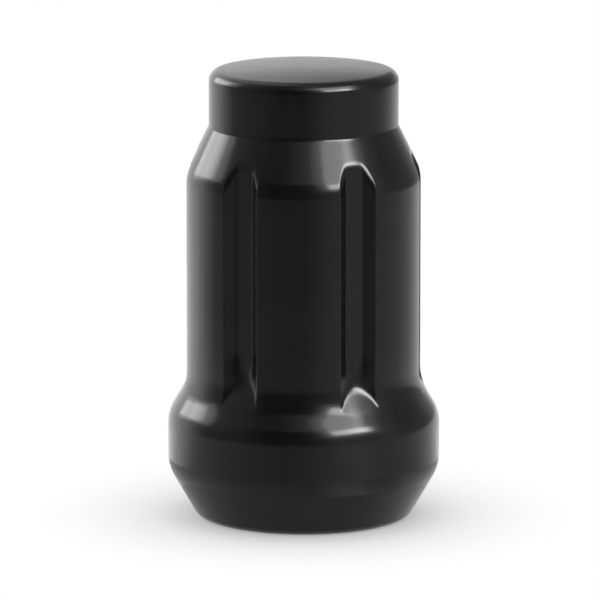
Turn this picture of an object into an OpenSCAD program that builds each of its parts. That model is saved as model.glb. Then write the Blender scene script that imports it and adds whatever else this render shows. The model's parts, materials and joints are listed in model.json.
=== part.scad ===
// Closed-end wheel nut with a conical seat and a grooved body for a spline key
// The axis is Z, the seat end stands on z = 0 and the closed cap is up

/* [Overall] */
// Height of the nut, from the seat end to the top of the cap
nut_h = 40; // [36:0.5:60]

/* [Seat and flange] */
// Diameter of the flange, the widest part of the nut
flange_d = 24; // [23:0.5:28]
// Height of the flange band, from corner to corner before rounding
flange_h = 4.7; // [3:0.1:8]
// Included angle of the conical seat
seat_angle = 60; // [56:1:90]
// Diameter of the small end of the seat, before rounding
seat_end_d = 18.8; // [17:0.05:20]

/* [Body and cap] */
// Diameter of the lands between the grooves
body_d = 20.8; // [20:0.1:22]
// Slope of the flare that joins the body to the flange, from the axis
flare_angle = 31; // [22:1:45]
// Slope of the shoulder that joins the body to the cap, from the axis
shoulder_angle = 26; // [22:1:45]
// Diameter of the cap
cap_d = 16.7; // [14:0.1:18]
// Height of the cap above the shoulder
cap_h = 5.15; // [3:0.05:9]
// Rise of the cap's domed top, from its rim to its middle
cap_crown = 0.26; // [0.1:0.02:0.6]

/* [Grooves] */
// Number of grooves round the body
groove_count = 6; // [4:1:9]
// Width of a groove between its lips, before rounding
groove_w = 3.46; // [2.6:0.02:4.4]
// Width of a groove's floor, before rounding
groove_floor_w = 1.64; // [1:0.02:2.4]
// Depth of a groove's floor below the lands
groove_depth = 0.93; // [0.6:0.01:1.2]
// Slope of the ramp that ends a groove in the flare, from the axis
ramp_angle = 36; // [34:1:50]

/* [Threaded hole] */
// Nominal diameter of the thread
thread_d = 12; // [10:0.5:14]
// Pitch of the thread
thread_pitch = 1.5; // [1:0.25:2]
// Thickness of metal over the point of the drilled hole
end_wall = 5; // [3:0.5:8]
// Included angle of the drill's point
drill_angle = 118; // [100:1:140]
// Included angle of the countersunk mouth
mouth_angle = 90; // [60:1:120]
// Width by which the mouth clears the thread all round
mouth_lead = 0.5; // [0.2:0.05:1]

/* [Rounded edges] */
// Round at the top edge of the cap
cap_round = 0.95; // [0.3:0.05:3]
// Fillet between the cap and the shoulder
root_round = 0.7; // [0.2:0.1:2]
// Round between the shoulder and the lands
shoulder_round = 3.5; // [0.5:0.1:6]
// Fillet between the lands and the flare
flare_round = 5; // [0.5:0.1:6]
// Round between the flare and the flange
flange_round = 3.4; // [0.5:0.1:6]
// Round between the flange and the seat
seat_round = 3.8; // [0.3:0.1:5]
// Round at the foot of the seat
foot_round = 0.95; // [0.2:0.05:2]
// Round along the lips of a groove
lip_round = 0.3; // [0.1:0.02:0.5]
// Round along the floor corners of a groove
floor_round = 0.6; // [0.1:0.02:0.8]
// Fillet between a groove's floor and its ramp
ramp_round = 4; // [0.5:0.1:5]

/* [Hidden] */

coating = "#1c1c1e";
$fn = 96;

// Largest turn of one facet of a rounded edge, in degrees
arc_step = 5;
// Number of facets across the cap's dome, from its middle to its edge
dome_steps = 6;
// Share of an edge that the round at one of its ends may take
edge_share = 0.49;
// Depth by which a thread of unit pitch narrows a hole
thread_share = 1.0825;
// Length by which a cut runs past the surface it opens
overrun = 1;
// Distance by which the ramp's fillet starts below a groove's floor, so that the two cross cleanly
floor_sink = 0.03;

flange_r = flange_d / 2;
seat_end_r = seat_end_d / 2;
body_r = body_d / 2;
cap_r = cap_d / 2;
bore_r = (thread_d - thread_share * thread_pitch) / 2;
mouth_r = thread_d / 2 + mouth_lead;

seat_z = (flange_r - seat_end_r) / tan(seat_angle / 2);
flange_z = seat_z + flange_h;
flare_z = flange_z + (flange_r - body_r) / tan(flare_angle);
cap_z = nut_h - cap_h;
shoulder_z = cap_z - (body_r - cap_r) / tan(shoulder_angle);

dome_r = (cap_r * cap_r + cap_crown * cap_crown) / (2 * cap_crown);
dome_turn = acos((cap_r - cap_round) / (dome_r - cap_round));
dome_centre = [0, nut_h - dome_r];
edge_centre = dome_centre + (dome_r - cap_round) * [cos(dome_turn), sin(dome_turn)];

point_z = nut_h - end_wall;
bore_z = point_z - bore_r / tan(drill_angle / 2);
mouth_z = (mouth_r - bore_r) / tan(mouth_angle / 2);

groove_pitch = 360 / groove_count;
floor_y = body_r - groove_depth;
lip_x = groove_w / 2;
lip_turn = asin(lip_x / body_r);
lip_y = body_r * cos(lip_turn);
lead_x = lip_x + lip_round * cos(lip_turn);
lead_y = lip_y - lip_round * sin(lip_turn);
open_y = flange_r + overrun;

ramp_r = (body_r + flange_r) / 2;
ramp_z = (flange_z + flare_z) / 2;
core_r = floor_y - floor_sink;
core_z = ramp_z + (ramp_r - core_r) / tan(ramp_angle);
skirt_r = flange_r + overrun;
skirt_z = ramp_z - (skirt_r - ramp_r) / tan(ramp_angle);

function toward(a, b) = (b - a) / norm(b - a);
function turned(v, angle) = [v.x * cos(angle) - v.y * sin(angle), v.x * sin(angle) + v.y * cos(angle)];

// Arc that rounds corner b between its neighbours a and c
function corner_arc(a, b, c, radius) =
    let (
        u = toward(b, a),
        v = toward(b, c),
        half = acos(u * v) / 2,
        reach = min(radius / tan(half), edge_share * norm(a - b), edge_share * norm(c - b)),
        centre = b + toward([0, 0], u + v) * reach / cos(half),
        start = b + u * reach - centre,
        sweep = sign(cross(start, b + v * reach - centre)) * (180 - 2 * half),
        steps = ceil(abs(sweep) / arc_step)
    )
    [for (i = [0:steps]) centre + turned(start, sweep * i / steps)];

// Outline through corners given as [x, y, round]
function outline(corners) =
    let (n = len(corners), at = [for (c = corners) [c.x, c.y]])
    [for (i = [0:n - 1])
        each corners[i].z > 0
            ? corner_arc(at[(i + n - 1) % n], at[i], at[(i + 1) % n], corners[i].z)
            : [at[i]]];

// Points of an arc about a centre, after its first one
function arc(centre, radius, first, last, steps) =
    [for (i = [1:steps]) centre + turned([radius, 0], first + (last - first) * i / steps)];

// Turned blank with its blind hole and domed cap, as one revolved section
module blank() {
    rotate_extrude()
        polygon(concat(
            outline([
                [0, point_z, 0],
                [bore_r, bore_z, 0],
                [bore_r, mouth_z, 0],
                [mouth_r, 0, 0],
                [seat_end_r, 0, foot_round],
                [flange_r, seat_z, seat_round],
                [flange_r, flange_z, flange_round],
                [body_r, flare_z, flare_round],
                [body_r, shoulder_z, shoulder_round],
                [cap_r, cap_z, root_round],
                [cap_r, edge_centre.y, 0]
            ]),
            arc(edge_centre, cap_round, 0, dome_turn, ceil(dome_turn / arc_step)),
            arc(dome_centre, dome_r, dome_turn, 90, dome_steps)
        ));
}

// Section of one groove, open to the outside
module groove_section() {
    polygon(outline([
        [lead_x, lead_y, 0],
        [lead_x, open_y, 0],
        [-lead_x, open_y, 0],
        [-lead_x, lead_y, 0],
        [-lip_x, lip_y, lip_round],
        [-groove_floor_w / 2, floor_y, floor_round],
        [groove_floor_w / 2, floor_y, floor_round],
        [lip_x, lip_y, lip_round]
    ]));
}

// Core inside the grooves, with the ramp on which each of them ends
module groove_core() {
    rotate_extrude()
        polygon(outline([
            [0, 0, 0],
            [skirt_r, 0, 0],
            [skirt_r, skirt_z, 0],
            [core_r, core_z, ramp_round],
            [core_r, nut_h + overrun, 0],
            [0, nut_h + overrun, 0]
        ]));
}

// Grooves all round, placed so that the middle of a land faces the front
module grooves() {
    difference() {
        for (i = [1:groove_count])
            rotate([0, 0, i * groove_pitch - groove_pitch / 2])
                linear_extrude(nut_h + overrun)
                    groove_section();
        groove_core();
    }
}

module lug_nut() {
    color(coating)
        difference() {
            blank();
            grooves();
        }
}

lug_nut();
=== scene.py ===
# %% [markdown]
# # A black spline-drive lug nut
# A lug nut holds a road wheel on its stud. This one is a single piece of steel: a closed cap,
# a grooved body that a spline key grips, a flared flange and a conical seat, all under one
# thin black coating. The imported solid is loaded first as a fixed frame, so that what is drawn
# here has the same place and size.

# %% Load the frame
import json
import math

import bmesh
import bpy
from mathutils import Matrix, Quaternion, Vector


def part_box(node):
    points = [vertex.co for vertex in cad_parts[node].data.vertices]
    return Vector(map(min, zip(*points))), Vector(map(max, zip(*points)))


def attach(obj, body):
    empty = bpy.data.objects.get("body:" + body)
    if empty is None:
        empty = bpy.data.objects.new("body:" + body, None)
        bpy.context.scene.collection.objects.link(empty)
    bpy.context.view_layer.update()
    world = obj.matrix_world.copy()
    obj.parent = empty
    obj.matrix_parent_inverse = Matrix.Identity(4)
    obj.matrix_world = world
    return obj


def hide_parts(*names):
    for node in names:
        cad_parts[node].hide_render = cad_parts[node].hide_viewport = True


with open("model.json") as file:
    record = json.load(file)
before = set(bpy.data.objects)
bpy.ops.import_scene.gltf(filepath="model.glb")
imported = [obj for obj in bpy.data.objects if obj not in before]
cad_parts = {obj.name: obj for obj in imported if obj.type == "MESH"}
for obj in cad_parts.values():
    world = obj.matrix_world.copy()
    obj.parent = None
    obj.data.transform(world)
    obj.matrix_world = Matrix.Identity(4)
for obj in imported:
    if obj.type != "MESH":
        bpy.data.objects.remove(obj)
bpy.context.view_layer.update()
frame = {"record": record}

# %% [markdown]
# ## Sizes
# Blender works in metres, and its tools are least exact on very small shapes. So the nut is
# drawn a thousand times too large, one unit for a millimetre, and shrunk as its last step.
# The height, the flange and the hole come from the frame. The other sizes are those of the
# turned outline, from the cap down to the seat.

# %% Sizes in millimetres
MM = 0.001
low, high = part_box("lug_nut")
stud_thread = next(m for m in frame["record"]["mounts"] if m["name"] == "stud_thread")

NUT_H = round((high.z - low.z) / MM, 2)
FLANGE_R = round((high.y - low.y) / 2 / MM, 2)
BORE_R = stud_thread["dims"]["r_mm"]
BORE_TOP = stud_thread["pos_m"][2] / MM + stud_thread["dims"]["length_mm"] / 2

CAP_R = 8.35
CAP_H = 5.15
BODY_R = 10.4
SHOULDER_ANGLE = math.radians(26)
FLARE_ANGLE = math.radians(31)
FLANGE_H = 4.7
SEAT_END_R = 9.4
SEAT_HALF_ANGLE = math.radians(30)

cap_z = NUT_H - CAP_H
shoulder_z = cap_z - (BODY_R - CAP_R) / math.tan(SHOULDER_ANGLE)
seat_z = (FLANGE_R - SEAT_END_R) / math.tan(SEAT_HALF_ANGLE)
flange_z = seat_z + FLANGE_H
flare_z = flange_z + (FLANGE_R - BODY_R) / math.tan(FLARE_ANGLE)
print("height", NUT_H, "flange radius", FLANGE_R, "hole radius", BORE_R, "hole top", round(BORE_TOP, 2))

# %% [markdown]
# ## Drawing with two operators
# An outline can be typed in as a list of points, but then its rounds are only numbers. Here it is
# drawn, with one vertex as the pencil. Extruding the vertex draws a straight line, and spinning
# it about a centre draws an arc. Each corner has a radius, and a little geometry gives the point
# where the line stops, the centre of the arc and its turn.

# %% Pencil
def start_pencil(name, at):
    """A new piece that is one vertex, at (radius, height)."""
    bpy.ops.object.select_all(action="DESELECT")
    bpy.ops.mesh.primitive_plane_add(size=1, location=(0, 0, 0))
    piece = bpy.context.object
    piece.name = piece.data.name = name
    bpy.ops.object.mode_set(mode="EDIT")
    bpy.ops.mesh.select_mode(type="VERT")
    bpy.ops.mesh.merge(type="CENTER")
    bpy.ops.transform.translate(value=(at[0], 0, at[1]))
    return piece


def draw_line(here, to, steps):
    """Extrude the pencil from here to a place, in equal steps."""
    step = ((to[0] - here[0]) / steps, 0, (to[1] - here[1]) / steps)
    for _ in range(steps):
        bpy.ops.mesh.extrude_vertices_move(TRANSFORM_OT_translate={"value": step})


def draw_arc(centre, turn, steps):
    """Spin the pencil about a centre, anticlockwise for a positive turn."""
    bpy.ops.mesh.spin(steps=steps, angle=turn, center=(centre[0], 0, centre[1]), axis=(0, 1, 0))


# %% Rounded corners
def corner_round(before, corner, after, radius):
    """Start, centre, turn and end of the arc that rounds a corner."""
    before, corner, after = Vector(before), Vector(corner), Vector(after)
    way_in = (corner - before).normalized()
    way_out = (after - corner).normalized()
    turn = math.atan2(way_in.x * way_out.y - way_in.y * way_out.x, way_in.dot(way_out))
    reach = radius * math.tan(abs(turn) / 2)
    start = corner - way_in * reach
    left = Vector((-way_in.y, way_in.x))
    centre = start + left * math.copysign(radius, turn)
    return start, centre, turn, corner + way_out * reach


# %% [markdown]
# ## The turned outline
# The real blank is turned on a lathe, so a stack of cylinders and cones would do for its form. One
# outline, drawn in the plane of the axis from the middle of the cap to the middle of the mouth,
# is closer to how it is made. Every corner of the real part is rounded: gently where the shoulder
# and the flare meet the body, tightly at the root of the cap. The number of steps in each round
# is chosen so that a reflection runs over it without facets.

# %% Corners of the outline: radius, height, round, steps to it, steps round it
LAND_RISE = 4.5
MOUTH_R = 6.5
POCKET_R = 4.5
POCKET_Z = MOUTH_R - POCKET_R
CORNERS = {
    "root": (CAP_R, cap_z, 0.7, 4, 5),
    "shoulder": (BODY_R, shoulder_z, 3.5, 10, 10),
    "land": (BODY_R, flare_z + LAND_RISE, 0.0, 10, 0),
    "flare": (BODY_R, flare_z, 5.0, 14, 20),
    "flange": (FLANGE_R, flange_z, 3.4, 6, 10),
    "seat": (FLANGE_R, seat_z, 3.8, 3, 10),
    "foot": (SEAT_END_R, 0.0, 0.95, 4, 10),
    "mouth": (MOUTH_R, 0.0, 0.15, 3, 4),
    "pocket": (POCKET_R, POCKET_Z, 0.0, 2, 0),
    "middle": (0.0, POCKET_Z, 0.0, 1, 0),
}
print("corners:", {name: round(corner[1], 2) for name, corner in CORNERS.items()})

# %% Draw the cap's dome and the round of its edge
CROWN = 0.26
CAP_ROUND = 0.95
DOME_STEPS = 12
CAP_STEPS = 18
DOME_R = (CAP_R ** 2 + CROWN ** 2) / (2 * CROWN)
lean = math.asin((CAP_R - CAP_ROUND) / (DOME_R - CAP_ROUND))
cap_edge = Vector((CAP_R - CAP_ROUND, NUT_H - DOME_R + (DOME_R - CAP_ROUND) * math.cos(lean)))

nut = start_pencil("coated_nut", (0.0, NUT_H))
draw_arc((0.0, NUT_H - DOME_R), -lean, DOME_STEPS)
draw_arc(cap_edge, lean - math.pi / 2, CAP_STEPS)
print("cap: dome radius", round(DOME_R, 1), "lean at its edge", round(math.degrees(lean), 2))

# %% Draw the rest of the outline
names = list(CORNERS)
rows = {}
row = DOME_STEPS + CAP_STEPS
here = Vector((CAP_R, cap_edge.y))
for name, following in zip(names, names[1:] + names[-1:]):
    x, z, fillet, run_steps, fillet_steps = CORNERS[name]
    start, centre, turn, end = corner_round(here, (x, z), CORNERS[following][:2], fillet)
    draw_line(here, start, run_steps)
    if fillet_steps:
        draw_arc(centre, turn, fillet_steps)
    rows[name] = (row + run_steps, row + run_steps + fillet_steps)
    row += run_steps + fillet_steps
    here = end
bpy.ops.object.mode_set(mode="OBJECT")
outline = [(v.co.x, v.co.z) for v in nut.data.vertices]
print("outline:", len(outline), "points,", rows)

# %% [markdown]
# ## One half of one groove
# Six grooves run down the body, so one half of one groove is enough: it is mirrored, then
# repeated. The outline is spun from the middle of a groove to the middle of the next land. The
# spin goes in zones, with close columns where the groove's section bends and wide ones on the
# land. Each vertex keeps the number of its row, so that it can be found again afterwards.

# %% The groove's section, along the body and at its foot
GROOVES = 6
GROOVE_DEPTH = 0.93
FLOOR_R = BODY_R - GROOVE_DEPTH
LIP_HALF = 1.73
FLOOR_HALF = 0.82
FLOOR_ROUND = 0.6
LIP_ROUND = 0.3
FOOT_HALF = 0.25
FOOT_ROUND = 1.0
FOOT_LIP_ROUND = 0.6

lip_turn = math.asin(LIP_HALF / BODY_R)
lip = Vector((LIP_HALF, BODY_R * math.cos(lip_turn)))
land = lip + Vector((math.cos(lip_turn), -math.sin(lip_turn)))


def groove_corners(floor_half, floor_radius, lip_radius):
    """Rounded floor corner and lip of a groove with this half floor."""
    corner = (floor_half, FLOOR_R)
    return (corner_round((0.0, FLOOR_R), corner, lip, floor_radius),
            corner_round(corner, lip, land, lip_radius))


body_corners = groove_corners(FLOOR_HALF, FLOOR_ROUND, LIP_ROUND)
foot_corners = groove_corners(FOOT_HALF, FOOT_ROUND, FOOT_LIP_ROUND)
print("lip at", round(math.degrees(lip_turn), 2), "degrees from the groove's middle")

# %% Zones of the spin: the turn where each ends, and its steps
NEAR_LAND = math.radians(13)
FAR_LAND = math.radians(18)


def turn_of(point):
    """Turn of a point of the section from the middle of the groove."""
    return math.atan2(point[0], point[1])


ZONES = [
    (turn_of(body_corners[0][0]), 3),
    (turn_of(body_corners[0][3]), 6),
    (turn_of(body_corners[1][0]), 4),
    (turn_of(body_corners[1][3]), 6),
    (NEAR_LAND, 4),
    (FAR_LAND, 4),
    (math.pi / GROOVES, 6),
]
print("groove zones:", [round(math.degrees(zone[0]), 2) for zone in ZONES])

# %% Spin the outline through the zones
nut.data.attributes.new("row", "INT", "POINT").data.foreach_set("value", range(len(outline)))
bpy.ops.object.mode_set(mode="EDIT")
bpy.ops.mesh.select_all(action="SELECT")
reached = 0.0
for turn, steps in ZONES:
    bpy.ops.mesh.spin(steps=steps, angle=turn - reached, center=(0, 0, 0), axis=(0, 0, -1))
    reached = turn
bpy.ops.object.mode_set(mode="OBJECT")
print("half sector:", len(nut.data.vertices), "points")

# %% [markdown]
# ## Pressing the groove
# The real groove is pressed into the cold blank. The shoulder cuts it off above, and below it runs
# out on a ramp in the flare. A boolean would leave these edges sharp, so here each vertex slides
# to its own place in the groove. Above, the rows stop at a small round where the slope is cut
# off, and that round catches the light as a bright arch. Below, a vertex sinks by the lesser of
# two depths, the section's and the ramp's, so that the floor blends into the ramp. Towards the
# foot the section turns into a shallow V, and the ramp is a little dished.

# %% The groove's depth at a turn
SECTION_STEPS = 40


def arc_points(corner):
    """Points along the arc of a rounded corner."""
    start, centre, turn, _ = corner
    arm = start - centre
    points = []
    for i in range(SECTION_STEPS + 1):
        cosine = math.cos(turn * i / SECTION_STEPS)
        sine = math.sin(turn * i / SECTION_STEPS)
        points.append(centre + Vector((arm.x * cosine - arm.y * sine, arm.x * sine + arm.y * cosine)))
    return points


def half_section(corners):
    """Points of half a groove's section, from the middle of its floor to the land."""
    return [Vector((0.0, FLOOR_R))] + arc_points(corners[0]) + arc_points(corners[1])


def groove_depth(turn, section):
    """Depth of the groove under the land at a turn from the groove's middle."""
    way = Vector((math.sin(turn), math.cos(turn)))
    for a, b in zip(section, section[1:]):
        if turn_of(a) <= turn <= turn_of(b):
            side = b - a
            return BODY_R - (a.x * side.y - a.y * side.x) / (way.x * side.y - way.y * side.x)
    return 0.0


body_section = half_section(body_corners)
foot_section = half_section(foot_corners)
print("depth in the middle:", round(groove_depth(0.0, body_section), 2))

# %% Measuring along the slope above the groove
root_row = rows["root"][1]
body_row = rows["shoulder"][1]


def between(value, known, wanted):
    """Straight-line reading of one list against another that rises."""
    for (k0, w0), (k1, w1) in zip(zip(known, wanted), zip(known[1:], wanted[1:])):
        if value <= k1:
            return w0 + (w1 - w0) * (value - k0) / (k1 - k0)
    return wanted[-1]


def track(points):
    """A line to measure along: its radii, its heights and the length gone at each point."""
    gone = [0.0]
    for a, b in zip(points, points[1:]):
        gone.append(gone[-1] + math.dist(a, b))
    return [p[0] for p in points], [p[1] for p in points], gone


def along(line, length):
    """Place on such a line at a length from its start."""
    return Vector((between(length, line[2], line[0]), between(length, line[2], line[1])))


slope = track(outline[root_row:body_row + 1])
print("slope:", round(slope[2][-1], 2), "mm long")

# %% Cutting the slope back
EDGE_AT_FLOOR = 0.5
EDGE_AT_LIP = 0.9
EDGE_GROWTH = 0.4
EDGE_ROWS = 8
edge_row = body_row - EDGE_ROWS


def rounded(first, corner, last, share):
    """Point of the round that runs from one place to another under their corner."""
    return first * (1 - share) ** 2 + corner * 2 * share * (1 - share) + last * share ** 2


def cut_back(row, depth):
    """Place of a row above the body in a column that is pressed to a depth."""
    cut = between(BODY_R - depth, slope[0], slope[2])
    top = along(slope, cut)
    growth = min(1.0, (BODY_R - depth - FLOOR_R) / EDGE_GROWTH)
    edge = EDGE_AT_FLOOR + (EDGE_AT_LIP - EDGE_AT_FLOOR) * growth
    if row <= edge_row:
        return along(slope, (cut - edge) * (row - root_row) / (edge_row - root_row))
    share = (row - edge_row) / EDGE_ROWS
    return rounded(along(slope, cut - edge), top, top - Vector((0.0, edge)), share)


print("foot of the arch's round:", [round(c, 2) for c in cut_back(body_row, GROOVE_DEPTH)])

# %% Running out on the ramp below the groove
RAMP_TOP = 13.32
RAMP_DISH = 0.04
RAMP_FADE = 0.05
ramp_end_r = (BODY_R + FLANGE_R) / 2
ramp_end_z = (flare_z + flange_z) / 2
ramp_slope = (ramp_end_r - FLOOR_R) / (RAMP_TOP - ramp_end_z)


def ramp_depth(radius, height, middle):
    """Depth of the ramp under a point of the outline; it is dished, and its end fades out softly."""
    depth = radius - FLOOR_R - (RAMP_TOP - height) * ramp_slope - RAMP_DISH * (1 - middle)
    return depth * depth / (depth + RAMP_FADE) if depth > 0 else 0.0


print("ramp:", round(math.degrees(math.atan(ramp_slope)), 1), "degrees from the axis")

# %% Soft changes from one form to the next
LIP_MELT = 0.1
BLEND_POWER = 3


def lip_share(depth):
    """How far a column has left the land, from 0 at the lip to 1."""
    return min(1.0, depth / LIP_MELT)


def melted(depth):
    """A depth that starts softly at the lip."""
    return depth * lip_share(depth)


def soft_least(a, b):
    """The lesser of two depths, rounded where they cross."""
    if a <= 0 or b <= 0:
        return 0.0
    return a * b / (a ** BLEND_POWER + b ** BLEND_POWER) ** (1 / BLEND_POWER)


def smooth(share):
    """Soft step from 0 to 1."""
    share = min(1.0, max(0.0, share))
    return share * share * (3 - 2 * share)


print("two equal depths of 1 blend to", round(soft_least(1.0, 1.0), 2))

# %% Press
FOOT_LENGTH = 3.0
LEAST_DEPTH = 1e-4
land_row = rows["land"][1]
flange_row = rows["flange"][0]
land_z = outline[land_row][1]

row_marks = nut.data.attributes["row"].data
moved = 0
for vertex in nut.data.vertices:
    row = row_marks[vertex.index].value
    turn = math.atan2(vertex.co.y, vertex.co.x)
    depth = groove_depth(turn, body_section)
    foot_depth = groove_depth(turn, foot_section)
    if not root_row < row < flange_row or max(depth, foot_depth) < LEAST_DEPTH:
        continue
    radius, height = outline[row]
    if row <= land_row:
        upper = min(row, body_row)
        place = Vector(outline[upper]).lerp(cut_back(upper, depth), lip_share(depth))
        radius = place.x if row <= body_row else BODY_R
        height = place.y + (land_z - place.y) * max(0, row - body_row) / (land_row - body_row)
    if row > body_row:
        near_foot = smooth((land_z - height) / FOOT_LENGTH)
        section_depth = melted(depth) + (melted(foot_depth) - melted(depth)) * near_foot
        ramp = ramp_depth(radius, height, section_depth / GROOVE_DEPTH)
        radius -= soft_least(section_depth, ramp)
    vertex.co = (radius * math.cos(turn), radius * math.sin(turn), height)
    moved += 1
nut.data.attributes.remove(nut.data.attributes["row"])
print("pressed:", moved, "points")

# %% [markdown]
# ## All six grooves
# A mirror makes the other half, and the spin tool's duplicates make the other five sectors, which
# is quicker and truer than six grooves by hand. The seams are merged, and the faces are turned to
# point outwards.

# %% Mirror and repeat
SEAM = 0.0003


def apply(piece, kind, **settings):
    """Add a modifier, set it and apply it."""
    bpy.context.view_layer.objects.active = piece
    modifier = piece.modifiers.new(kind.lower(), kind)
    for key, value in settings.items():
        setattr(modifier, key, value)
    bpy.ops.object.modifier_apply(modifier=modifier.name)


def merge_seams(piece, distance):
    """Merge the vertices that lie on one another and turn the faces outwards."""
    bpy.context.view_layer.objects.active = piece
    bpy.ops.object.mode_set(mode="EDIT")
    bpy.ops.mesh.select_all(action="SELECT")
    bpy.ops.mesh.remove_doubles(threshold=distance)
    bpy.ops.mesh.normals_make_consistent(inside=False)
    bpy.ops.object.mode_set(mode="OBJECT")


apply(nut, "MIRROR", use_axis=(False, True, False), merge_threshold=SEAM)
bpy.ops.object.mode_set(mode="EDIT")
bpy.ops.mesh.select_all(action="SELECT")
bpy.ops.mesh.spin(steps=GROOVES - 1, dupli=True, angle=math.tau * (GROOVES - 1) / GROOVES,
                  center=(0, 0, 0), axis=(0, 0, -1))
bpy.ops.object.mode_set(mode="OBJECT")
merge_seams(nut, SEAM)
print("grooved blank:", len(nut.data.vertices), "points,", len(nut.data.polygons), "faces")

# %% [markdown]
# ## Drilling and tapping
# A thread could be drawn on with a bump, but its crests show at the mouth. So the hole is made as
# in the workshop: a tap cuts the thread, and a drill clears the core up to its point. The tap is
# one pitch of the thread's form under a screw modifier, and both tools are taken from the nut
# with a boolean.

# %% The tap
PITCH = 1.5
THREAD_R = 6.0
THREAD_TOP = 28.0
CREST = PITCH / 4
FLANK = PITCH * 5 / 16
RUN_IN = 2
THREAD_STEPS = 72
TOOL_SEAM = 0.001

tap = start_pencil("tap", (BORE_R, -RUN_IN * PITCH))
form = [(BORE_R, CREST), (THREAD_R, CREST + FLANK), (THREAD_R, PITCH - FLANK), (BORE_R, PITCH)]
here = (BORE_R, 0.0)
for place in form:
    draw_line(here, place, 1)
    here = place
bpy.ops.object.mode_set(mode="OBJECT")
turns = round(THREAD_TOP / PITCH) + RUN_IN
apply(tap, "SCREW", axis="Z", angle=math.tau, screw_offset=PITCH, iterations=turns,
      steps=THREAD_STEPS, render_steps=THREAD_STEPS, use_merge_vertices=False)
merge_seams(tap, TOOL_SEAM)
print("tap:", turns, "turns,", len(tap.data.polygons), "faces")

# %% Close the tap's ends
bpy.ops.object.mode_set(mode="EDIT")
bpy.ops.mesh.select_mode(type="EDGE")
bpy.ops.mesh.select_all(action="DESELECT")
bpy.ops.mesh.select_non_manifold()
bpy.ops.mesh.extrude_edges_move(TRANSFORM_OT_translate={"value": (0, 0, 0)})
bpy.ops.mesh.merge(type="COLLAPSE")
bpy.ops.mesh.select_all(action="SELECT")
bpy.ops.mesh.normals_make_consistent(inside=False)
bpy.ops.mesh.select_mode(type="VERT")
bpy.ops.object.mode_set(mode="OBJECT")
print("closed tap:", len(tap.data.polygons), "faces")

# %% The drill
CORE_GAP = 0.04
DRILL_R = BORE_R - CORE_GAP
DRILL_HALF_ANGLE = math.radians(59)
DRILL_START = -2.0
DRILL_STEPS = 96
point_h = DRILL_R / math.tan(DRILL_HALF_ANGLE)

drill = start_pencil("drill", (0.0, DRILL_START))
here = (0.0, DRILL_START)
for place in [(DRILL_R, DRILL_START), (DRILL_R, BORE_TOP), (0.0, BORE_TOP + point_h)]:
    draw_line(here, place, 1)
    here = place
bpy.ops.mesh.select_all(action="SELECT")
bpy.ops.mesh.spin(steps=DRILL_STEPS, angle=math.tau, center=(0, 0, 0), axis=(0, 0, 1))
bpy.ops.object.mode_set(mode="OBJECT")
merge_seams(drill, TOOL_SEAM)
print("drill: tip at", round(BORE_TOP + point_h, 2), "mm,", len(drill.data.polygons), "faces")

# %% Cut
for tool in (tap, drill):
    apply(nut, "BOOLEAN", operation="DIFFERENCE", object=tool, solver="MANIFOLD")
    bpy.data.objects.remove(tool)
print("drilled and tapped:", len(nut.data.polygons), "faces")

# %% [markdown]
# ## Down to real size
# The finished mesh is scaled in edit mode, so that the object itself keeps a scale of one. Then
# the shading is smoothed wherever two faces meet at a small angle, which leaves the thread's
# flanks crisp. A count of open edges shows whether the mesh is still closed.

# %% Shrink to metres and smooth
SMOOTH_ANGLE = math.radians(32)

bpy.ops.object.select_all(action="DESELECT")
nut.select_set(True)
bpy.context.view_layer.objects.active = nut
bpy.ops.object.mode_set(mode="EDIT")
bpy.ops.mesh.select_all(action="SELECT")
bpy.ops.transform.resize(value=(MM, MM, MM), center_override=(0, 0, 0))
bpy.ops.object.mode_set(mode="OBJECT")
bpy.ops.object.shade_smooth_by_angle(angle=SMOOTH_ANGLE)

check = bmesh.new()
check.from_mesh(nut.data)
open_edges = sum(not edge.is_manifold for edge in check.edges)
print("open edges:", open_edges, " volume:", round(check.calc_volume() / MM ** 3), "mm3")
check.free()
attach(nut, "root")
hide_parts("lug_nut")

# %% [markdown]
# ## The black coating
# The coating is a thin baked lacquer over steel: almost black, with a satin gloss that shows
# soft reflections. It isn't quite even, and a painted image could show that, but noise needs no
# file and has no seams. One noise shades the colour a little, one changes the gloss, and a very
# fine one gives the slight orange peel of a sprayed coat.

# %% Noise on the nut
NOISE_LOW = 0.3
NOISE_HIGH = 0.7

coat = bpy.data.materials.new("black_coating")
coat.use_nodes = True
nodes = coat.node_tree.nodes
links = coat.node_tree.links
lacquer = nodes["Principled BSDF"]
on_nut = nodes.new("ShaderNodeTexCoord")
print("new material:", coat.name)


def noise(scale, detail):
    """A noise on the object's own coordinates."""
    texture = nodes.new("ShaderNodeTexNoise")
    texture.inputs["Scale"].default_value = scale
    texture.inputs["Detail"].default_value = detail
    links.new(on_nut.outputs["Object"], texture.inputs["Vector"])
    return texture.outputs["Fac"]


# %% Colour
SHADE_SCALE = 220
SHADE_DETAIL = 3
DARK_BLACK = (0.0034, 0.0034, 0.0036, 1)
LIGHT_BLACK = (0.0054, 0.0054, 0.0057, 1)

tint = nodes.new("ShaderNodeValToRGB")
tint.color_ramp.elements[0].position = NOISE_LOW
tint.color_ramp.elements[0].color = DARK_BLACK
tint.color_ramp.elements[1].position = NOISE_HIGH
tint.color_ramp.elements[1].color = LIGHT_BLACK
links.new(noise(SHADE_SCALE, SHADE_DETAIL), tint.inputs["Fac"])
links.new(tint.outputs["Color"], lacquer.inputs["Base Color"])
print("colour from", DARK_BLACK[:3], "to", LIGHT_BLACK[:3])

# %% Gloss and peel
GLOSS_SCALE = 400
GLOSS_DETAIL = 4
SMOOTHEST = 0.14
ROUGHEST = 0.18
PEEL_SCALE = 2600
PEEL_DETAIL = 2
PEEL_STRENGTH = 0.05
PEEL_HEIGHT = 0.00002

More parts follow.
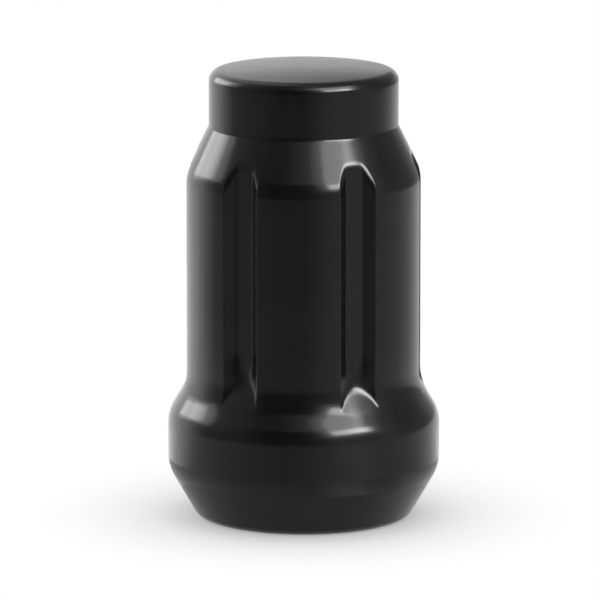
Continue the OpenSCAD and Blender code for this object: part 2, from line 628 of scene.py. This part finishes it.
gloss = nodes.new("ShaderNodeMapRange")
gloss.inputs["From Min"].default_value = NOISE_LOW
gloss.inputs["From Max"].default_value = NOISE_HIGH
gloss.inputs["To Min"].default_value = SMOOTHEST
gloss.inputs["To Max"].default_value = ROUGHEST
links.new(noise(GLOSS_SCALE, GLOSS_DETAIL), gloss.inputs["Value"])
links.new(gloss.outputs["Result"], lacquer.inputs["Roughness"])

peel = nodes.new("ShaderNodeBump")
peel.inputs["Strength"].default_value = PEEL_STRENGTH
peel.inputs["Distance"].default_value = PEEL_HEIGHT
links.new(noise(PEEL_SCALE, PEEL_DETAIL), peel.inputs["Height"])
links.new(peel.outputs["Normal"], lacquer.inputs["Normal"])
nut.data.materials.clear()
nut.data.materials.append(coat)
print("coating:", len(nodes), "nodes, roughness", SMOOTHEST, "to", ROUGHEST)

# %% [markdown]
# ## The studio
# A glossy black part shows little but what it mirrors, so the picture is made by its surroundings,
# as a product photographer would do it. A white surround gives the even light. What the gloss
# mirrors is built round the nut afterwards: boards in greys and a few soft boxes.

# %% White surround
world = bpy.data.worlds.new("white_surround")
bpy.context.scene.world = world
world.use_nodes = True
surround = world.node_tree.nodes["Background"]
surround.inputs["Color"].default_value = (1, 1, 1, 1)
surround.inputs["Strength"].default_value = 1.0
print("surround: strength", surround.inputs["Strength"].default_value)

# %% [markdown]
# ## The paper
# The nut stands on white paper, which only has to carry its shadow. A large sheet would show where
# it ends against the white, so the paper is a small disc that fades out before its edge. From
# below it is clear, so that the seat and the thread can be looked at. It lies a hair under the
# seat, so that the two faces don't fight.

# %% Paper
PAPER_R = 0.06
PAPER_DROP = 0.00005
PAPER_SIDES = 96
PAPER_WHITE = (0.98, 0.98, 0.98, 1)
PAPER_ROUGHNESS = 0.9
PAPER_COVER = 0.7
FADE_FROM = 0.01
FADE_TO = 0.026

bpy.ops.object.select_all(action="DESELECT")
bpy.ops.mesh.primitive_circle_add(vertices=PAPER_SIDES, radius=PAPER_R, fill_type="NGON",
                                  location=(0, 0, -PAPER_DROP))
floor = bpy.context.object
floor.name = "floor"
paper = bpy.data.materials.new("white_paper")
paper.use_nodes = True
paper_nodes = paper.node_tree.nodes
paper_links = paper.node_tree.links
sheet = paper_nodes["Principled BSDF"]
sheet.inputs["Base Color"].default_value = PAPER_WHITE
sheet.inputs["Roughness"].default_value = PAPER_ROUGHNESS
sheet.inputs["Specular IOR Level"].default_value = 0.0
floor.data.materials.append(paper)
print("paper:", round(2 * PAPER_R / MM), "mm across")

# %% Fade of the paper
on_paper = paper_nodes.new("ShaderNodeTexCoord")
from_middle = paper_nodes.new("ShaderNodeVectorMath")
from_middle.operation = "LENGTH"
side_seen = paper_nodes.new("ShaderNodeNewGeometry")
cover = paper_nodes.new("ShaderNodeMapRange")
cover.inputs["To Min"].default_value = PAPER_COVER
cover.inputs["To Max"].default_value = 0.0
fade = paper_nodes.new("ShaderNodeMapRange")
fade.interpolation_type = "SMOOTHSTEP"
fade.inputs["From Min"].default_value = FADE_FROM
fade.inputs["From Max"].default_value = FADE_TO
fade.inputs["To Max"].default_value = 0.0
paper_links.new(on_paper.outputs["Object"], from_middle.inputs[0])
paper_links.new(from_middle.outputs["Value"], fade.inputs["Value"])
paper_links.new(side_seen.outputs["Backfacing"], cover.inputs["Value"])
paper_links.new(cover.outputs["Result"], fade.inputs["To Min"])
paper_links.new(fade.outputs["Result"], sheet.inputs["Alpha"])
print("paper fades from", round(FADE_FROM / MM), "to", round(FADE_TO / MM), "mm")

# %% [markdown]
# ## Boards in the reflections
# In a real studio, dark and pale boards stand round a glossy part to shape what it mirrors. Here
# each board is a ring round the nut: four of table, two of wall and a room above. Only the gloss
# sees them, so they cast no light or shadow. Each ring has a level for each direction: dark in
# front, where the body has to stay black, and bright behind, where the cap's top mirrors it.
# Behind the nut, the two table rings next to the seat are dimmer than the table beyond: painted
# shade of the nut on its table, seen only in the gloss.

# %% A board's glow
def share_of_turn(azimuth):
    """Where an azimuth lies in a radial gradient, which starts on the left-hand side."""
    return (azimuth + 90) / 360


def board_material(name, levels):
    """A glow whose level changes with the azimuth, and the node that gives it."""
    material = bpy.data.materials.new(name)
    material.use_nodes = True
    board = material.node_tree
    board.nodes.remove(board.nodes["Principled BSDF"])
    place = board.nodes.new("ShaderNodeTexCoord")
    turn = board.nodes.new("ShaderNodeTexGradient")
    turn.gradient_type = "RADIAL"
    level_at = board.nodes.new("ShaderNodeValToRGB")
    stops = level_at.color_ramp.elements
    for azimuth, _ in levels[1:-1]:
        stops.new(share_of_turn(azimuth))
    for stop, (azimuth, level) in zip(stops, levels):
        stop.position = share_of_turn(azimuth)
        stop.color = (level, level, level, 1)
    light = board.nodes.new("ShaderNodeEmission")
    board.links.new(place.outputs["Object"], turn.inputs["Vector"])
    board.links.new(turn.outputs["Fac"], level_at.inputs["Fac"])
    board.links.new(level_at.outputs["Color"], light.inputs["Color"])
    board.links.new(light.outputs["Emission"], board.nodes["Material Output"].inputs["Surface"])
    return material, light


# %% A board that fades outwards
def fade_outwards(board, strength, inner, outer, far):
    """Let a board's strength go from 1 at its inner radius to another one at its outer radius."""
    place = board.nodes.new("ShaderNodeTexCoord")
    radius = board.nodes.new("ShaderNodeVectorMath")
    radius.operation = "LENGTH"
    change = board.nodes.new("ShaderNodeMapRange")
    change.inputs["From Min"].default_value = inner
    change.inputs["From Max"].default_value = outer
    change.inputs["To Min"].default_value = 1.0
    change.inputs["To Max"].default_value = far
    board.links.new(place.outputs["Object"], radius.inputs[0])
    board.links.new(radius.outputs["Value"], change.inputs["Value"])
    board.links.new(change.outputs["Result"], strength)


# %% One board
RING_STEPS = 72
LINE_STEPS = 4


def ring(name, points, levels, far=None):
    """A board all round the nut, seen only in reflections: its level is given by azimuth."""
    piece = start_pencil(name, points[0])
    for a, b in zip(points, points[1:]):
        draw_line(a, b, LINE_STEPS)
    bpy.ops.mesh.select_all(action="SELECT")
    bpy.ops.mesh.spin(steps=RING_STEPS, angle=math.tau, center=(0, 0, 0), axis=(0, 0, -1))
    bpy.ops.object.mode_set(mode="OBJECT")
    material, light = board_material(name, levels)
    if far is not None:
        fade_outwards(material.node_tree, light.inputs["Strength"], points[0][0], points[-1][0], far)
    piece.data.materials.append(material)
    piece.visible_camera = piece.visible_diffuse = piece.visible_transmission = False
    piece.visible_shadow = piece.visible_volume_scatter = False
    print("ring", name, "with", len(levels), "levels")


# %% Rings of the table, from the seat outwards
TABLE_Z = 0.0002
SEAT_EDGE = 0.0097
FOOT_EDGE = 0.0135
NEAR_EDGE = 0.026
TABLE_EDGE = 0.08
ROOM_R = 0.3

# Painted shade: behind the nut, the two rings by the seat are dimmer than the table beyond them.
ring("foot_table_shade", [(SEAT_EDGE, TABLE_Z), (FOOT_EDGE, TABLE_Z)],
     [(-90, 0.48), (-70, 0.44), (-52, 0.38), (-38, 0.34), (0, 0.34), (35, 0.36), (50, 0.42),
      (65, 0.5), (90, 0.62), (180, 0.6), (270, 0.48)])
ring("near_table_shade", [(FOOT_EDGE, TABLE_Z), (NEAR_EDGE, TABLE_Z)],
     [(-90, 0.68), (-70, 0.64), (-54, 0.52), (-40, 0.44), (-20, 0.37), (8, 0.35), (16, 0.48),
      (26, 0.72), (36, 0.76), (46, 0.5), (60, 0.47), (77, 0.7), (95, 0.75), (180, 0.75),
      (250, 0.7), (270, 0.68)], far=0.75)
ring("table", [(NEAR_EDGE, TABLE_Z), (TABLE_EDGE, TABLE_Z)],
     [(-90, 0.64), (-72, 0.46), (-45, 0.33), (-15, 0.25), (5, 0.27), (22, 0.42), (44, 0.64),
      (65, 0.46), (92, 0.52), (120, 0.85), (140, 1.15), (165, 1.0), (195, 1.1), (235, 1.3),
      (256, 1.1), (270, 0.64)])
ring("far_table", [(TABLE_EDGE, TABLE_Z), (ROOM_R, TABLE_Z)],
     [(-90, 0.4), (-72, 0.34), (-45, 0.27), (-20, 0.2), (5, 0.2), (20, 0.36), (44, 0.54),
      (66, 0.46), (100, 0.5), (120, 0.72), (140, 1.1), (165, 1.1), (195, 1.2), (240, 1.4),
      (256, 0.9), (270, 0.4)], far=0.85)

# %% Walls and room
LOW_WALL_TOP = 0.1
WALL_TOP = 0.248
CORNICE = (0.25, 0.4)
CEILING = (0.0, 0.45)

ring("low_wall", [(ROOM_R, 0.0), (ROOM_R, LOW_WALL_TOP)],
     [(-90, 0.26), (-66, 0.2), (-48, 0.13), (-28, 0.04), (4, 0.05), (18, 0.18), (34, 0.38),
      (78, 0.45), (100, 0.28), (128, 0.26), (150, 0.45), (168, 0.85), (182, 0.8), (190, 1.05),
      (205, 1.25), (246, 1.25), (258, 0.65), (270, 0.26)])
ring("wall", [(ROOM_R, LOW_WALL_TOP), (ROOM_R, WALL_TOP)],
     [(-90, 0.36), (-66, 0.24), (-48, 0.13), (-30, 0.035), (0, 0.04), (10, 0.12), (22, 0.4),
      (80, 0.5), (100, 0.26), (140, 0.26), (180, 0.3), (188, 0.75), (198, 1.05), (215, 1.2),
      (246, 1.15), (260, 0.75), (270, 0.38)])
ring("room", [(ROOM_R, WALL_TOP), CORNICE, CEILING],
     [(-90, 0.4), (-66, 0.28), (-42, 0.16), (-20, 0.16), (0, 0.4), (15, 0.58), (70, 0.6),
      (105, 0.33), (125, 0.26), (175, 0.28), (190, 0.45), (215, 1.0), (240, 0.9), (258, 0.6),
      (270, 0.4)])

# %% [markdown]
# ## Soft boxes
# Two soft boxes draw the bright edges: a key at the front right and a rim light at the rear left.
# A real soft box is brightest in its middle and dim at its edge, and one even rectangle wouldn't
# show that. So each is built of a few rectangles that lie over one another. They are seen only in
# the gloss, so the even light of the surround stays as it is.

# %% One soft box
MIDDLE = Vector((0, 0, NUT_H * MM / 2))


def around(azimuth, elevation, distance):
    """A place round the nut's middle: 0 is the front, and 90 the right-hand side."""
    a, e = math.radians(azimuth), math.radians(elevation)
    way = Vector((math.cos(e) * math.sin(a), -math.cos(e) * math.cos(a), math.sin(e)))
    return MIDDLE + way * distance


def soft_box(name, azimuth, elevation, width, height, distance, radiance, tilt):
    """A soft box that covers these angles, as bright as given; a tilt turns it in its own plane."""
    light = bpy.data.lights.new(name, "AREA")
    light.shape = "RECTANGLE"
    light.size = 2 * distance * math.tan(math.radians(width / 2))
    light.size_y = 2 * distance * math.tan(math.radians(height / 2))
    light.energy = radiance * math.pi * light.size * light.size_y
    box = bpy.data.objects.new(name, light)
    box.visible_diffuse = False
    bpy.context.scene.collection.objects.link(box)
    box.location = around(azimuth, elevation, distance)
    facing = (MIDDLE - box.location).to_track_quat("-Z", "Y")
    facing = facing @ Quaternion((0, 0, 1), math.radians(tilt))
    box.rotation_euler = facing.to_euler()
    print("soft box", name, "energy", round(light.energy, 3))


# %% Soft boxes: azimuth, elevation, width, height, distance, radiance, tilt
FAR_BOX = 0.27
MID_BOX = 0.25
NEAR_BOX = 0.2
RIM_TILT = 22
SOFT_BOXES = {
    "key": (45.5, 41, 31, 35, FAR_BOX, 3.2, 0),
    "key_core": (53, 29.5, 19, 12, FAR_BOX, 4.2, 0),
    "key_glow": (47.5, 29.75, 35, 13, FAR_BOX, 5.6, 0),
    "key_strip": (56, 32, 6, 17, NEAR_BOX, 2.8, 0),
    "key_edge": (47, 40.5, 50, 47, FAR_BOX, 0.7, 0),
    "key_side": (73, 49, 7, 10, NEAR_BOX, 3.6, 0),
    "rim": (-122.2, 22.8, 34.4, 21.5, FAR_BOX, 2.1, RIM_TILT),
    "rim_core": (-115, 21.5, 14, 16, FAR_BOX, 1.4, RIM_TILT),
    "rim_edge": (-117, 25.6, 46, 31, MID_BOX, 1.1, RIM_TILT),
}
for name, settings in SOFT_BOXES.items():
    soft_box(name, *settings)

# %% [markdown]
# ## The camera
# The picture is taken from a little above with a long lens, so the sides look almost parallel.
# The camera stands slightly to the right of the land that faces the front. Its aim is worked out
# from where the nut's middle falls in the picture, because the camera itself isn't shifted.

# %% Camera
CAMERA_AZIMUTH = 2.6
CAMERA_ELEVATION = 10.8
CAMERA_DISTANCE = 0.6
SENSOR_WIDTH = 36
PICTURE_WIDTH = 600
PIXELS_PER_MM = 11.33
OFFSET_PX = Vector((3.75, 8.96))

lens = bpy.data.cameras.new("camera")
camera = bpy.data.objects.new("camera", lens)
bpy.context.scene.collection.objects.link(camera)
lens.sensor_width = SENSOR_WIDTH
lens.lens = PIXELS_PER_MM / MM * CAMERA_DISTANCE * SENSOR_WIDTH / PICTURE_WIDTH
back = (around(CAMERA_AZIMUTH, CAMERA_ELEVATION, 1) - MIDDLE).normalized()
look = (-back).to_track_quat("-Z", "Y")
right = look @ Vector((1, 0, 0))
up = look @ Vector((0, 1, 0))
aim = MIDDLE - (right * OFFSET_PX.x + up * OFFSET_PX.y) / PIXELS_PER_MM * MM
camera.location = aim + back * CAMERA_DISTANCE
camera.rotation_mode = "QUATERNION"
camera.rotation_quaternion = look
bpy.context.scene.camera = camera
bpy.context.scene.view_settings.view_transform = "Standard"
print("lens:", round(lens.lens, 1), "mm")
